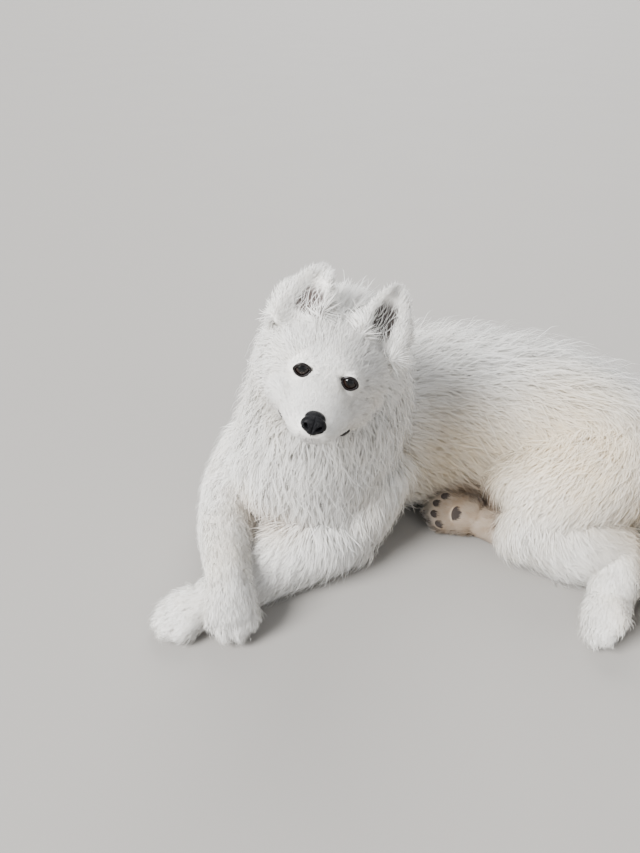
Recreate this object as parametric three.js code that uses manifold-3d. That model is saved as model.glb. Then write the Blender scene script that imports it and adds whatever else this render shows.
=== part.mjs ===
// A samoyed puppy, life size, lying on its breast with its forelegs crossed and its hips rolled
// onto the right thigh, so that both hind feet come out on its left side.
// Millimetres, +Z up, floor at z = 0, origin on the floor under the breastbone.
// -X is the way from rump to breast, and -Y is the puppy's left side.

import * as THREE from "three";
import { mergeVertices } from "three/addons/utils/BufferGeometryUtils.js";
import Module from "manifold-3d";

const wasm = await Module();
wasm.setup();

const rad = THREE.MathUtils.degToRad;
const mix = THREE.MathUtils.lerp;

// How far the solid body reaches out through the coat, as a share of the coat's depth.
const BODY_SHARE = 0.45;
// Edges shorter than this are closed up after the cuts.
const SHORTEST_EDGE = 0.08;
// The clear gap between two nodes that touch.
const GAP = 0.35;

// The locks of the long coat, in shares of the coat's depth or of the lock's own length.
const LOCK_LENGTH = 1.75;
const LOCK_WIDTH = 0.24;
const LOCK_THICKNESS = 0.07;
const LOCK_DROP = 0.45;
const LOCK_STRAY = rad(36);
const ROOT_SINK = 11;
const ROOT_CLEAR = 9;
const ROOT_TRIES = 14;
const LINE_STEPS = 18;
const FIRST_SEED = 7;
const LEAST_COAT = 20;
const LOWEST_ROOT = 16;
const LOWEST_OUT = -0.55;

const UP = [0, 0, 1];
const FRONT = [0, -1, 0];
const SIDES = { left: 1, right: -1 };
const point = (p) => new THREE.Vector3(p[0], p[1], p[2]);

// A geometry as a solid with its shared corners merged.
function solid(geometry) {
  const loose = geometry.index ? geometry.toNonIndexed() : geometry.clone();
  const bare = new THREE.BufferGeometry().setAttribute("position", loose.getAttribute("position"));
  const merged = mergeVertices(bare, 1e-3);
  return new wasm.Manifold(
    new wasm.Mesh({
      numProp: 3,
      vertProperties: merged.attributes.position.array,
      triVerts: new Uint32Array(merged.index.array),
    }),
  );
}

// A solid as a geometry, for drawing, sampling and growing.
function geometryOf(made) {
  const mesh = made.getMesh();
  const corners = new Float32Array(mesh.numVert * 3);
  for (let i = 0; i < mesh.numVert; i++)
    corners.set(mesh.vertProperties.subarray(i * mesh.numProp, i * mesh.numProp + 3), i * 3);
  return new THREE.BufferGeometry()
    .setAttribute("position", new THREE.BufferAttribute(corners, 3))
    .setIndex(new THREE.BufferAttribute(mesh.triVerts, 1));
}

const joined = (solids) => solids.reduce((all, one) => all.add(one));
const largest = (made) =>
  made.decompose().reduce((best, one) => (one.volume() > best.volume() ? one : best));

// A solid with every corner moved out along its faces, so that what is cut by it stays clear.
function grown(made) {
  const geometry = geometryOf(made);
  const at = geometry.getAttribute("position");
  const index = geometry.index.array;
  const sums = Array.from({ length: at.count }, () => new THREE.Vector3());
  const faces = Array.from({ length: at.count }, () => []);
  const [a, b, c] = [new THREE.Vector3(), new THREE.Vector3(), new THREE.Vector3()];
  for (let i = 0; i < index.length; i += 3) {
    a.fromBufferAttribute(at, index[i]);
    b.fromBufferAttribute(at, index[i + 1]).sub(a);
    c.fromBufferAttribute(at, index[i + 2]).sub(a);
    const face = b.clone().cross(c).normalize();
    for (let k = 0; k < 3; k++) {
      sums[index[i + k]].add(face);
      faces[index[i + k]].push(face);
    }
  }
  for (let i = 0; i < at.count; i++) {
    const out = sums[i].normalize();
    const least = Math.min(...faces[i].map((face) => face.dot(out)));
    a.fromBufferAttribute(at, i).addScaledVector(out, GAP / Math.max(0.3, least));
    at.setXYZ(i, a.x, a.y, a.z);
  }
  return solid(geometry).add(made);
}

// The curves through a list of sections: the centre line, the sizes and the coat depth.
// A section is [x, y, z, half-width, half-height above, half-height below, coat depth].
function curvesOf(sections) {
  const through = (points) => new THREE.CatmullRomCurve3(points, false, "centripetal");
  return {
    line: through(sections.map(point)),
    sizes: through(sections.map((s) => point(s.slice(3)))),
    coats: through(sections.map((s) => new THREE.Vector3(s[6], s[6], 0))),
  };
}

// A closed body drawn out along a curve through its sections, as a sphere pulled into a tube.
// front is the direction that counts as above. The two ends are rounded off.
const DRAWN = { around: 12, along: 2, share: BODY_SHARE, cap: 0.5, from: 0 };
function drawn(sections, front, options = {}) {
  const { around, along, share, cap, from } = { ...DRAWN, ...options };
  const { line, sizes, coats } = curvesOf(sections);
  const rows = (sections.length - 1) * along + 2;
  const geometry = new THREE.SphereGeometry(1, around, rows);
  const at = geometry.getAttribute("position");
  for (let row = 0; row <= rows; row++) {
    const t = THREE.MathUtils.clamp((row - 1) / (rows - 2), 0, 1);
    const [centre, ahead, size] = [line.getPoint(t), line.getTangent(t), sizes.getPoint(t)];
    const side = point(front).cross(ahead).normalize();
    const up = ahead.clone().cross(side);
    const coat = coats.getPoint(t).x * share;
    const pole = row === 0 ? -1 : row === rows ? 1 : 0;
    for (let k = 0; k <= around; k++) {
      const turn = from + (k / around) * 2 * Math.PI;
      const [across, high] = pole ? [0, 0] : [-Math.cos(turn), Math.sin(turn)];
      const corner = centre
        .clone()
        .addScaledVector(side, across * (size.x + coat))
        .addScaledVector(up, high * ((high > 0 ? size.y : size.z) + coat))
        .addScaledVector(ahead, pole * cap * (Math.min(size.x, size.y) + coat));
      at.setXYZ(row * (around + 1) + k, corner.x, corner.y, corner.z);
    }
  }
  return solid(geometry);
}

// A ball or egg of three half-sizes, turned by a matrix.
function egg(at, sizes, around = 8, rows = 6, turn = new THREE.Matrix4()) {
  const geometry = new THREE.SphereGeometry(1, around, rows);
  geometry.scale(...sizes).applyMatrix4(turn).translate(...at);
  return solid(geometry);
}

// A seeded run of even random numbers.
function seeded(seed) {
  let state = seed;
  return () => {
    state = (state * 1664525 + 1013904223) % 4294967296;
    return state / 4294967296;
  };
}

// Whether a point lies inside any of some meshes, by the faces that a ray from it passes.
const ray = new THREE.Raycaster();
const insideAny = (meshes, p) =>
  meshes.some((mesh) => {
    ray.set(p, new THREE.Vector3(0.31, 0.52, 0.79).normalize());
    return mesh.geometry.boundingBox.containsPoint(p) && ray.intersectObject(mesh).length % 2 === 1;
  });

function meshOf(made) {
  const geometry = geometryOf(made);
  geometry.computeBoundingBox();
  return new THREE.Mesh(geometry, new THREE.MeshBasicMaterial({ side: THREE.DoubleSide }));
}

// Points spread over a surface with a least distance between any two, each with its normal.
function rootsOn(made, apart, random, allowed) {
  const geometry = geometryOf(made);
  const at = geometry.getAttribute("position");
  const index = geometry.index.array;
  const triangles = [];
  let area = 0;
  for (let i = 0; i < index.length; i += 3) {
    const corners = [0, 1, 2].map((k) => new THREE.Vector3().fromBufferAttribute(at, index[i + k]));
    const triangle = new THREE.Triangle(...corners);
    area += triangle.getArea();
    triangles.push({ triangle, upTo: area });
  }
  const roots = [];
  for (let tries = 0; tries < (area / apart ** 2) * ROOT_TRIES; tries++) {
    const pick = random() * area;
    const { triangle } = triangles.find(({ upTo }) => upTo >= pick);
    let [u, v] = [random(), random()];
    if (u + v > 1) [u, v] = [1 - u, 1 - v];
    const p = triangle.a
      .clone()
      .addScaledVector(triangle.b.clone().sub(triangle.a), u)
      .addScaledVector(triangle.c.clone().sub(triangle.a), v);
    const out = triangle.getNormal(new THREE.Vector3());
    const free = roots.every((root) => root.p.distanceTo(p) > apart);
    if (free && allowed(p, out)) roots.push({ p, out });
  }
  return roots;
}

// The nearest place on some centre lines: the way they run there, and the coat's depth.
function nearestOn(steps, p) {
  return steps.reduce((best, step) => (step.at.distanceTo(p) < best.at.distanceTo(p) ? step : best));
}

function stepsAlong(lengths) {
  return lengths.flatMap((sections) => {
    const { line, sizes, coats } = curvesOf(sections);
    return Array.from({ length: LINE_STEPS + 1 }, (_, i) => {
      const t = i / LINE_STEPS;
      const [size, coat] = [sizes.getPoint(t), coats.getPoint(t).x];
      const round = size.x / 2 + (size.y + size.z) / 4 + coat * BODY_SHARE;
      return { at: line.getPoint(t), ahead: line.getTangent(t), coat, round };
    });
  });
}

// The part of a point's way out from a place on the centre line that is square to the line.
function squareOut(p, place) {
  const away = p.clone().sub(place.at);
  const ahead = away.dot(place.ahead);
  return { away: away.addScaledVector(place.ahead, -ahead), ahead };
}

// One lock: a flat, tapered blade that rises from under the surface, bends over and follows the
// body round to its tip.
function lock({ p, out }, steps, random) {
  const root = nearestOn(steps, p);
  const along = root.ahead.clone().add(new THREE.Vector3(0, 0, -LOCK_DROP));
  const lie = along.addScaledVector(out, -along.dot(out)).normalize();
  lie.applyAxisAngle(out, (random() - 0.5) * LOCK_STRAY);
  const length = root.coat * LOCK_LENGTH * mix(0.8, 1.15, random());
  const rise = root.coat * (1 - BODY_SHARE) * mix(0.85, 1.05, random());
  const reach = squareOut(p, root).away.length() / root.round;
  const over = (far, up) => {
    const q = p.clone().addScaledVector(lie, length * far);
    const near = nearestOn(steps, q);
    const { away, ahead } = squareOut(q, near);
    const high = reach * near.round + up;
    return near.at.clone().addScaledVector(near.ahead, ahead).addScaledVector(away.normalize(), high);
  };
  const size = (share) => [length * LOCK_WIDTH * share, length * LOCK_THICKNESS * share];
  const section = (at, share) => [...at.toArray(), size(share)[0], size(share)[1], size(share)[1], 0];
  const sunk = p.clone().addScaledVector(out, -ROOT_SINK).addScaledVector(lie, -0.1 * length);
  const [bend, tip] = [over(0.42, rise * 0.6), over(0.92, rise)];
  const blade = [section(sunk, 0.85), section(bend, 1), section(tip, 0.3)];
  return drawn(blade, out.toArray(), { around: 3, along: 1, cap: 1.6, from: Math.PI / 2 });
}

// The long coat of a node, rooted where its body is bare of the other nodes.
function coatOf(core, lengths, apart, seed, others) {
  const random = seeded(seed);
  const steps = stepsAlong(lengths);
  const free = (p, out) =>
    out.z > LOWEST_OUT &&
    p.z > LOWEST_ROOT &&
    nearestOn(steps, p).coat > LEAST_COAT &&
    !insideAny(others, p.clone().addScaledVector(out, ROOT_CLEAR));
  return rootsOn(core, apart, random, free).map((root) => lock(root, steps, random));
}

// The torso: breast, ribs, loin and rump, drawn from front to back.
const TORSO = [
  [
    [-62, -52, 112, 50, 46, 58, 44],
    [-12, 4, 108, 76, 88, 92, 48],
    [78, 50, 106, 82, 96, 94, 54],
    [190, 55, 104, 78, 96, 90, 56],
    [290, 24, 102, 76, 96, 86, 54],
    [368, -24, 98, 76, 90, 84, 50],
    [424, -62, 92, 56, 64, 66, 44],
    [452, -84, 86, 28, 30, 34, 36],
  ],
];

// The neck and the bib of the ruff, drawn down from the back of the skull to the breast.
const NECK = [
  [
    [-36, -112, 352, 42, 36, 32, 34],
    [-34, -92, 312, 52, 52, 50, 46],
    [-36, -76, 255, 60, 58, 66, 52],
    [-46, -68, 190, 72, 62, 82, 54],
    [-58, -80, 118, 78, 52, 82, 50],
    [-64, -92, 60, 66, 38, 66, 36],
  ],
];

// The forelegs, each as an upper arm and a forearm. The right one crosses over the left.
const FORELEG_RIGHT = [
  [
    [-92, -6, 128, 50, 52, 52, 30],
    [-138, -24, 94, 44, 46, 46, 28],
    [-176, -44, 62, 34, 34, 36, 24],
  ],
  [
    [-176, -44, 60, 32, 32, 34, 24],
    [-182, -120, 58, 29, 30, 32, 18],
    [-178, -178, 64, 24, 25, 26, 14],
    [-168, -238, 66, 21, 21, 22, 9],
  ],
];
const FORELEG_LEFT = [
  [
    [10, -60, 120, 50, 50, 52, 30],
    [0, -90, 84, 44, 44, 46, 30],
    [-14, -112, 52, 34, 34, 38, 30],
  ],
  [
    [-12, -110, 50, 34, 34, 38, 30],
    [-70, -150, 42, 31, 30, 32, 26],
    [-128, -190, 34, 25, 24, 27, 18],
    [-198, -236, 25, 20, 19, 22, 9],
  ],
];

// The hind legs. The left shows its thigh, shank and foot, and only the foot of the right one
// comes out from under the belly.
const HINDLEG_LEFT = [
  [
    [400, -30, 110, 70, 66, 70, 36],
    [330, -76, 108, 66, 60, 64, 36],
    [264, -112, 84, 52, 46, 50, 32],
  ],
  [
    [262, -116, 74, 46, 42, 48, 30],
    [310, -148, 56, 40, 36, 42, 28],
    [362, -166, 46, 24, 24, 28, 20],
  ],
  [
    [362, -156, 46, 22, 22, 24, 18],
    [356, -205, 38, 21, 20, 22, 12],
    [336, -238, 32, 21, 19, 21, 9],
  ],
];
const HINDLEG_RIGHT = [
  [
    [330, -70, 34, 30, 26, 30, 8],
    [268, -118, 28, 22, 20, 22, 8],
  ],
  [
    [270, -118, 28, 22, 20, 22, 8],
    [222, -104, 27, 19, 17, 19, 7],
    [182, -82, 26, 18, 16, 18, 6],
  ],
];

// The tail, from the rump round the haunch and down to the floor.
const TAIL = [
  [
    [436, -62, 124, 26, 24, 24, 24],
    [462, -104, 146, 24, 22, 22, 36],
    [464, -156, 132, 20, 19, 19, 44],
    [450, -206, 94, 16, 15, 15, 46],
    [430, -246, 62, 12, 11, 11, 42],
    [406, -278, 46, 7, 7, 7, 30],
  ],
];

// The head has its own frame: origin midway between the eyes, x to its left, y back, z up.
const HEAD_AT = [-43, -176, 340];
const HEAD_TURN = new THREE.Euler(rad(-12), rad(14.5), rad(-4.6), "ZXY");
const headPlace = new THREE.Matrix4().makeRotationFromEuler(HEAD_TURN).setPosition(...HEAD_AT);
const toHead = (made) => made.transform(headPlace.elements);

const SKULL = [
  [0, 92, -2, 40, 34, 40, 16],
  [0, 70, -4, 52, 48, 50, 16],
  [0, 46, -7, 56, 52, 54, 13],
  [0, 22, -9, 56, 46, 52, 8],
  [0, 4, -11, 48, 36, 46, 5],
  [0, -14, -17, 36, 18, 38, 4],
  [0, -34, -24, 29, 15, 30, 3],
  [0, -54, -30, 25, 13, 25, 3],
  [0, -70, -33, 20, 12, 20, 2],
  [0, -78, -34, 14, 8, 14, 2],
];
const CHEEKS = [
  [
    [0, 26, -26, 44, 30, 38, 16],
    [0, 54, -28, 52, 38, 44, 32],
    [0, 86, -24, 50, 42, 46, 34],
  ],
];
const MOUTH_LINE = [
  [35, -16, -37],
  [28, -34, -41],
  [23.5, -54, -46],
  [17, -71, -47],
  [0, -83, -46],
];
const MOUTH_GROOVE = [1.3, 1.3, 1.3, 0];

const EYE_AT = [27.5, -6, 0];
const EYE_RADIUS = 10.2;
const LID = 2;
const EYE_OPENING = [9.4, 8, 6.6];
const EYE_SLANT = 10;

function head(share) {
  const each = Object.values(SIDES);
  const lids = each.map((sign) => {
    const r = EYE_RADIUS + LID;
    return egg([EYE_AT[0] * sign, EYE_AT[1], EYE_AT[2]], [r, r, r], 12, 8);
  });
  const openings = each.map((sign) => {
    const slant = new THREE.Matrix4().makeRotationY(rad(-EYE_SLANT * sign));
    return egg([EYE_AT[0] * sign, EYE_AT[1] - EYE_RADIUS, EYE_AT[2]], EYE_OPENING, 12, 6, slant);
  });
  const grooves = each.map((sign) =>
    drawn(MOUTH_LINE.map(([x, y, z]) => [x * sign, y, z, ...MOUTH_GROOVE]), UP, { around: 4, along: 1 }),
  );
  const body = joined([
    drawn(SKULL, UP, { around: 16, along: 1, share }),
    drawn(CHEEKS[0], UP, { around: 12, share }),
    ...lids,
  ]);
  return body.subtract(joined([...openings, ...grooves]));
}

// The nose pad with its two nostrils.
function nose() {
  const pad = joined([egg([0, -79, -28], [14, 8, 10], 12, 7), egg([0, -72, -24], [11, 10, 8], 8, 5)]);
  const nostrils = Object.values(SIDES).map((sign) => egg([7 * sign, -87, -28], [3.2, 5, 2.6], 5, 4));
  return pad.subtract(joined(nostrils));
}

// Ears: a cupped shell, opening forwards and a little outwards.
const EAR = [
  [0, 0, -14, 32, 17, 17, 0],
  [0, 1, 8, 32, 16, 16, 0],
  [0, 2, 30, 27, 12, 12, 0],
  [0, 3, 50, 17, 8, 8, 0],
  [0, 4, 64, 6, 5, 5, 0],
];
const EAR_CUP = [
  [0, -12, -2, 19, 9, 13, 0],
  [0, -9, 14, 20, 9, 13, 0],
  [0, -6, 32, 16, 7, 9, 0],
  [0, -4, 50, 7, 4, 6, 0],
];
const EAR_AT = [50, 42, 42];
const EAR_TURN = { left: [-6, 6, 18], right: [-6, 8, -18] };

function ear(side) {
  const [pitch, lean, yaw] = EAR_TURN[side].map(rad);
  const turn = new THREE.Matrix4().makeRotationFromEuler(new THREE.Euler(pitch, lean, yaw, "ZXY"));
  turn.setPosition(EAR_AT[0] * SIDES[side], EAR_AT[1], EAR_AT[2]);
  const cup = drawn(EAR_CUP, FRONT, { around: 8, along: 1 });
  return toHead(drawn(EAR, FRONT).subtract(cup).transform(turn.elements));
}

// The paws. Each has a frame with x across, y ahead to the toes and z up from the sole.
const PAWS = {
  forepaw_left: { at: [-202, -239, 23], ahead: [-0.83, -0.56, -0.02], above: [0, 0, 1] },
  forepaw_right: { at: [-166, -242, 62], ahead: [0.06, -0.78, -0.6], above: [0, -0.6, 0.78] },
  hindpaw_left: { at: [334, -240, 30], ahead: [-0.5, -0.84, -0.1], above: [-0.75, 0.35, 0.5] },
  hindpaw_right: { at: [182, -82, 26], ahead: [-0.9, 0.35, 0], above: [0.25, 0.65, -0.55] },
};
const PALM = [
  [0, -8, 0, 20, 18, 20, 4],
  [0, 14, -1, 24, 18, 20, 4],
  [0, 34, -4, 27, 17, 16, 3],
  [0, 44, -6, 20, 12, 12, 2],
];
const TOES = [
  [-21, 40, -7, 10],
  [-8, 50, -7, 11],
  [8, 50, -7, 11],
  [21, 40, -7, 10],
];
const CLAW = [
  [0, 0, 0, 2.6, 2.6, 2.6, 0],
  [0, 8, -1, 2.3, 2.4, 2.4, 0],
  [0, 14, -5, 0.9, 0.9, 0.9, 0],
];

function pawPlace(name) {
  const { at, ahead, above } = PAWS[name];
  const y = point(ahead).normalize();
  const x = y.clone().cross(point(above)).normalize();
  return new THREE.Matrix4().makeBasis(x, y, x.clone().cross(y)).setPosition(...at).elements;
}

function paw(name) {
  const toes = TOES.map(([x, y, z, r]) => egg([x, y, z], [r * 0.95, r * 1.45, r * 1.05], 7, 5));
  return joined([drawn(PALM, UP, { around: 9, along: 1 }), ...toes]).transform(pawPlace(name));
}

function claw(name, [x, y, z, r]) {
  return drawn(CLAW, UP, { around: 5, along: 1 })
    .translate(x, y + r * 0.7, z)
    .transform(pawPlace(name));
}

// Every part with the order in which they claim their place: a later one is cut clear of an
// earlier one. lengths are the centre lines that a long coat follows.
const WHITE = { color: 0xf4efe4, roughness: 0.9 };
const parts = new Map();
const limb = (lengths, front, around = 14) =>
  joined(lengths.map((one) => drawn(one, front, { around })));
const addLimb = (name, lengths, apart, front = UP, around = 14) =>
  parts.set(name, { core: limb(lengths, front, around), lengths, apart, look: WHITE });
const DARK = { color: 0x1b1816, roughness: 0.35 };

parts.set("nose", { core: toHead(nose()), look: DARK });
for (const [side, sign] of Object.entries(SIDES)) {
  const at = [EYE_AT[0] * sign, EYE_AT[1], EYE_AT[2]];
  const ball = egg(at, [EYE_RADIUS, EYE_RADIUS, EYE_RADIUS], 12, 8);
  parts.set("eye_" + side, { core: toHead(ball), look: { color: 0x1a100b, roughness: 0.08 } });
}
for (const side of Object.keys(SIDES)) parts.set("ear_" + side, { core: ear(side), look: WHITE });
const inWorld = (sections) =>
  sections.map((s) => [...point(s).applyMatrix4(headPlace).toArray(), ...s.slice(3)]);
parts.set("head", {
  core: toHead(head(BODY_SHARE)),
  lengths: [inWorld(SKULL), inWorld(CHEEKS[0])],
  apart: 34,
  look: WHITE,
});
for (const name of Object.keys(PAWS))
  TOES.forEach((toe, i) => parts.set(`claw_${name}_${i + 1}`, { core: claw(name, toe), look: DARK }));
for (const name of Object.keys(PAWS)) parts.set(name, { core: paw(name), look: WHITE });
addLimb("foreleg_right", FORELEG_RIGHT, 32);
addLimb("foreleg_left", FORELEG_LEFT, 32);
addLimb("neck", NECK, 45, FRONT, 14);
addLimb("hindleg_right", HINDLEG_RIGHT, 0, UP, 10);
addLimb("tail", TAIL, 34, UP, 10);
addLimb("hindleg_left", HINDLEG_LEFT, 42, UP, 12);
addLimb("torso", TORSO, 52, UP, 16);

for (const [name, part] of parts) {
  part.clear = grown(part.core);
  part.mesh = meshOf(part.clear);
  part.name = name;
}
const group = new THREE.Group();
const all = [...parts.values()];
const lockedOut = [];
all.forEach((part, order) => {
  let kept = part.core;
  for (const other of all.slice(0, order)) kept = kept.subtract(other.clear);
  if (part.apart) {
    const others = all.filter((other) => other !== part);
    const meshes = others.map((other) => other.mesh);
    const locks = coatOf(kept, part.lengths, part.apart, order + FIRST_SEED, meshes);
    let coat = joined(locks);
    for (const other of others) coat = coat.subtract(other.clear);
    for (const other of lockedOut) coat = coat.subtract(other);
    lockedOut.push(joined(locks.map(grown)));
    kept = kept.add(coat);
  }
  kept = largest(kept.trimByPlane([0, 0, 1], 0).simplify(SHORTEST_EDGE));
  const mesh = new THREE.Mesh(geometryOf(kept), new THREE.MeshStandardMaterial(part.look));
  mesh.name = part.name;
  group.add(mesh);
});

export default group;
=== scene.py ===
import math

import bmesh
import bpy
import numpy as np
from mathutils import Matrix, Vector, kdtree


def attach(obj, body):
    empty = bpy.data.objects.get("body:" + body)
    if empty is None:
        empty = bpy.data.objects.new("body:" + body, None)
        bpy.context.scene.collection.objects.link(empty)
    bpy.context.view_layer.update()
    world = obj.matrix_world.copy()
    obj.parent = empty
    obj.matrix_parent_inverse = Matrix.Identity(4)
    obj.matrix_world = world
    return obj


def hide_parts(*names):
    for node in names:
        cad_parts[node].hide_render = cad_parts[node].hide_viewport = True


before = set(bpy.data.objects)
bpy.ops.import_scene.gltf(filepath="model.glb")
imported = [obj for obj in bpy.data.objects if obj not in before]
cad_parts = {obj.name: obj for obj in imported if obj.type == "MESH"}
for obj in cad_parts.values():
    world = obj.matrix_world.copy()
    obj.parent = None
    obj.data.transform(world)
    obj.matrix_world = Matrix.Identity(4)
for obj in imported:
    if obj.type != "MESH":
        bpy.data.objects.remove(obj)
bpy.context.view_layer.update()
MM = 0.001


# Camera and lights: the camera stands 0.72 m up and looks down at 36.4 degrees, as in the
# photograph. A wide soft light comes from the left, a weak one from the right and one from behind.
camera = bpy.data.objects.new("camera", bpy.data.cameras.new("camera"))
camera.data.sensor_width = 36.0
camera.data.lens = 27.0
camera.location = (-0.05, -0.79, 0.72)
camera.rotation_euler = (math.radians(53.6), 0, 0)
bpy.context.collection.objects.link(camera)
bpy.context.scene.camera = camera

aim = Vector((0.1, -0.05, 0.15))
for name, place, strength, spread in (
    ("key", (-4.7, -2.7, 4.8), 11.0, 28),
    ("fill", (5.1, -4.2, 3.3), 0.7, 40),
    ("back", (0.8, 5.1, 4.8), 2.3, 36),
):
    lamp = bpy.data.lights.new(name, "SUN")
    lamp.energy, lamp.angle = strength, math.radians(spread)
    light = bpy.data.objects.new(name, lamp)
    light.location = place
    light.rotation_euler = (aim - light.location).to_track_quat("-Z", "Y").to_euler()
    bpy.context.collection.objects.link(light)
world = bpy.data.worlds.new("studio")
world.use_nodes = True
sky = world.node_tree.nodes["Background"]
sky.inputs["Color"].default_value = (0.80, 0.83, 0.88, 1)
sky.inputs["Strength"].default_value = 0.72
bpy.context.scene.world = world


# Floor: a plain pale matt floor, wide enough that its far edge is the horizon in a low view. It is
# the stage, so it rides on no body of the model.
class Shade:
    """A socket of a material, with arithmetic that adds the nodes for it."""

    def __init__(self, socket):
        self.socket = socket

    def node(self, kind, inputs=None, out=0, **settings):
        tree = self.socket.id_data
        made = tree.nodes.new(kind)
        for key, value in settings.items():
            setattr(made, key, value)
        for key, value in (inputs or {}).items():
            if isinstance(value, Shade):
                tree.links.new(value.socket, made.inputs[key])
            else:
                made.inputs[key].default_value = value
        return Shade(made.outputs[out])

    def math(self, operation, *others, clamp=False):
        values = dict(enumerate((self, *others)))
        return self.node("ShaderNodeMath", values, operation=operation, use_clamp=clamp)

    def __add__(self, other):
        return self.math("ADD", other)

    def __mul__(self, other):
        return self.math("MULTIPLY", other)

    def __rsub__(self, other):
        return (self * -1.0) + other

    __radd__ = __add__
    __rmul__ = __mul__

    def ramp(self, low, high):
        """0 at low and 1 at high, smooth between, whichever is the larger."""
        values = {"Value": self, "From Min": low, "From Max": high}
        return self.node("ShaderNodeMapRange", values, interpolation_type="SMOOTHSTEP")

    def near(self, centre, inner, outer):
        """1 within inner of a place and 0 beyond outer, in millimetres."""
        place = tuple(x * MM for x in centre)
        far = self.node("ShaderNodeVectorMath", {0: self, 1: place}, out=1, operation="DISTANCE")
        return far.ramp(outer * MM, inner * MM)

    def noise(self, scale, detail=2.0):
        return self.node("ShaderNodeTexNoise", {"Vector": self, "Scale": scale, "Detail": detail})

    def mixed(self, amount, other):
        """This colour with other laid over it by amount."""
        tree = self.socket.id_data
        made = tree.nodes.new("ShaderNodeMix")
        made.data_type = "RGBA"
        tree.links.new(amount.socket, made.inputs["Factor"])
        tree.links.new(self.socket, made.inputs["A"])
        made.inputs["B"].default_value = (*other, 1)
        return Shade(made.outputs["Result"])

    def into(self, socket):
        self.socket.id_data.links.new(self.socket, socket)


def material(name, colour, **settings):
    """A Principled material and the Object coordinates to paint it by."""
    made = bpy.data.materials.new(name)
    made.use_nodes = True
    shader = made.node_tree.nodes["Principled BSDF"]
    shader.inputs["Base Color"].default_value = (*colour, 1)
    for key, value in settings.items():
        shader.inputs[key.replace("_", " ").title().replace("Ior", "IOR")].default_value = value
    coordinates = made.node_tree.nodes.new("ShaderNodeTexCoord")
    return made, shader, Shade(coordinates.outputs["Object"])


floor_made, floor_shader, place = material("pale_floor", (0.27, 0.257, 0.24), roughness=0.7)
(place.noise(3.0) * 0.1 + 0.65).into(floor_shader.inputs["Roughness"])
floor = bmesh.new()
bmesh.ops.create_grid(floor, x_segments=1, y_segments=1, size=20.0)
floor_mesh = bpy.data.meshes.new("floor")
floor.to_mesh(floor_mesh)
floor_object = bpy.data.objects.new("floor", floor_mesh)
floor_mesh.materials.append(floor_made)
bpy.context.collection.objects.link(floor_object)


# The body under the coat: torso, neck, legs and tail, along the same centre lines as the solids.
# A section is a place, a half-width, a half-height above and below, and the depth of the coat
# there, all in millimetres. Each length begins with the side that its rings take as up.
UP, FRONT = (0, 0, 1), (0, -1, 0)
LENGTHS = {
    "torso": (UP, [
        (-62, -52, 112, 50, 46, 58, 44), (-12, 4, 108, 76, 92, 92, 48), (78, 50, 106, 82, 104, 94, 54),
        (190, 55, 104, 78, 104, 90, 56), (290, 24, 102, 76, 100, 86, 54), (368, -24, 98, 76, 87, 84, 50),
        (424, -62, 92, 56, 60, 66, 44), (452, -84, 86, 28, 30, 34, 36),
    ]),
    "neck": (FRONT, [
        (-38, -108, 352, 50, 36, 34, 38), (-38, -90, 312, 59, 54, 52, 50), (-38, -76, 255, 64, 58, 66, 54),
        (-46, -68, 190, 72, 62, 82, 54), (-58, -80, 118, 78, 52, 82, 50), (-64, -92, 60, 66, 38, 66, 36),
    ]),
    "foreleg_right_upper": (UP, [
        (-92, -6, 128, 50, 52, 52, 30), (-138, -24, 94, 44, 46, 46, 28), (-176, -44, 62, 34, 34, 36, 24),
    ]),
    "foreleg_right_lower": (UP, [
        (-176, -44, 60, 32, 32, 34, 24), (-182, -120, 58, 29, 30, 32, 18), (-178, -178, 64, 24, 25, 26, 14),
        (-168, -238, 66, 21, 21, 22, 9),
    ]),
    "foreleg_left_upper": (UP, [
        (10, -60, 120, 50, 50, 52, 30), (0, -90, 84, 44, 44, 46, 30), (-14, -112, 52, 34, 34, 38, 30),
    ]),
    "foreleg_left_lower": (UP, [
        (-12, -110, 50, 34, 34, 38, 30), (-70, -150, 42, 31, 30, 32, 26), (-128, -190, 34, 25, 24, 27, 18),
        (-198, -236, 25, 20, 19, 22, 9),
    ]),
    "thigh_left": (UP, [
        (400, -30, 110, 70, 66, 70, 36), (330, -76, 108, 66, 60, 64, 36), (264, -112, 84, 52, 46, 50, 32),
    ]),
    "shank_left": (UP, [
        (262, -116, 74, 46, 42, 48, 30), (310, -148, 56, 40, 36, 42, 28), (362, -166, 46, 24, 24, 28, 20),
    ]),
    "hindfoot_left": (UP, [
        (362, -156, 46, 22, 22, 24, 18), (356, -205, 38, 21, 20, 22, 12), (336, -238, 32, 21, 19, 21, 9),
    ]),
    "shank_right": (UP, [(330, -70, 34, 30, 26, 30, 8), (268, -118, 28, 22, 20, 22, 8)]),
    "hindfoot_right": (UP, [
        (270, -118, 28, 22, 20, 22, 8), (222, -104, 27, 19, 17, 19, 7), (182, -82, 26, 18, 16, 18, 6),
    ]),
    "tail": (UP, [
        (436, -62, 124, 26, 24, 24, 24), (462, -104, 146, 24, 22, 22, 36), (464, -156, 132, 20, 19, 19, 44),
        (450, -206, 94, 16, 15, 15, 46), (430, -246, 62, 12, 11, 11, 42), (406, -278, 46, 7, 7, 7, 30),
    ]),
}

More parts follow.
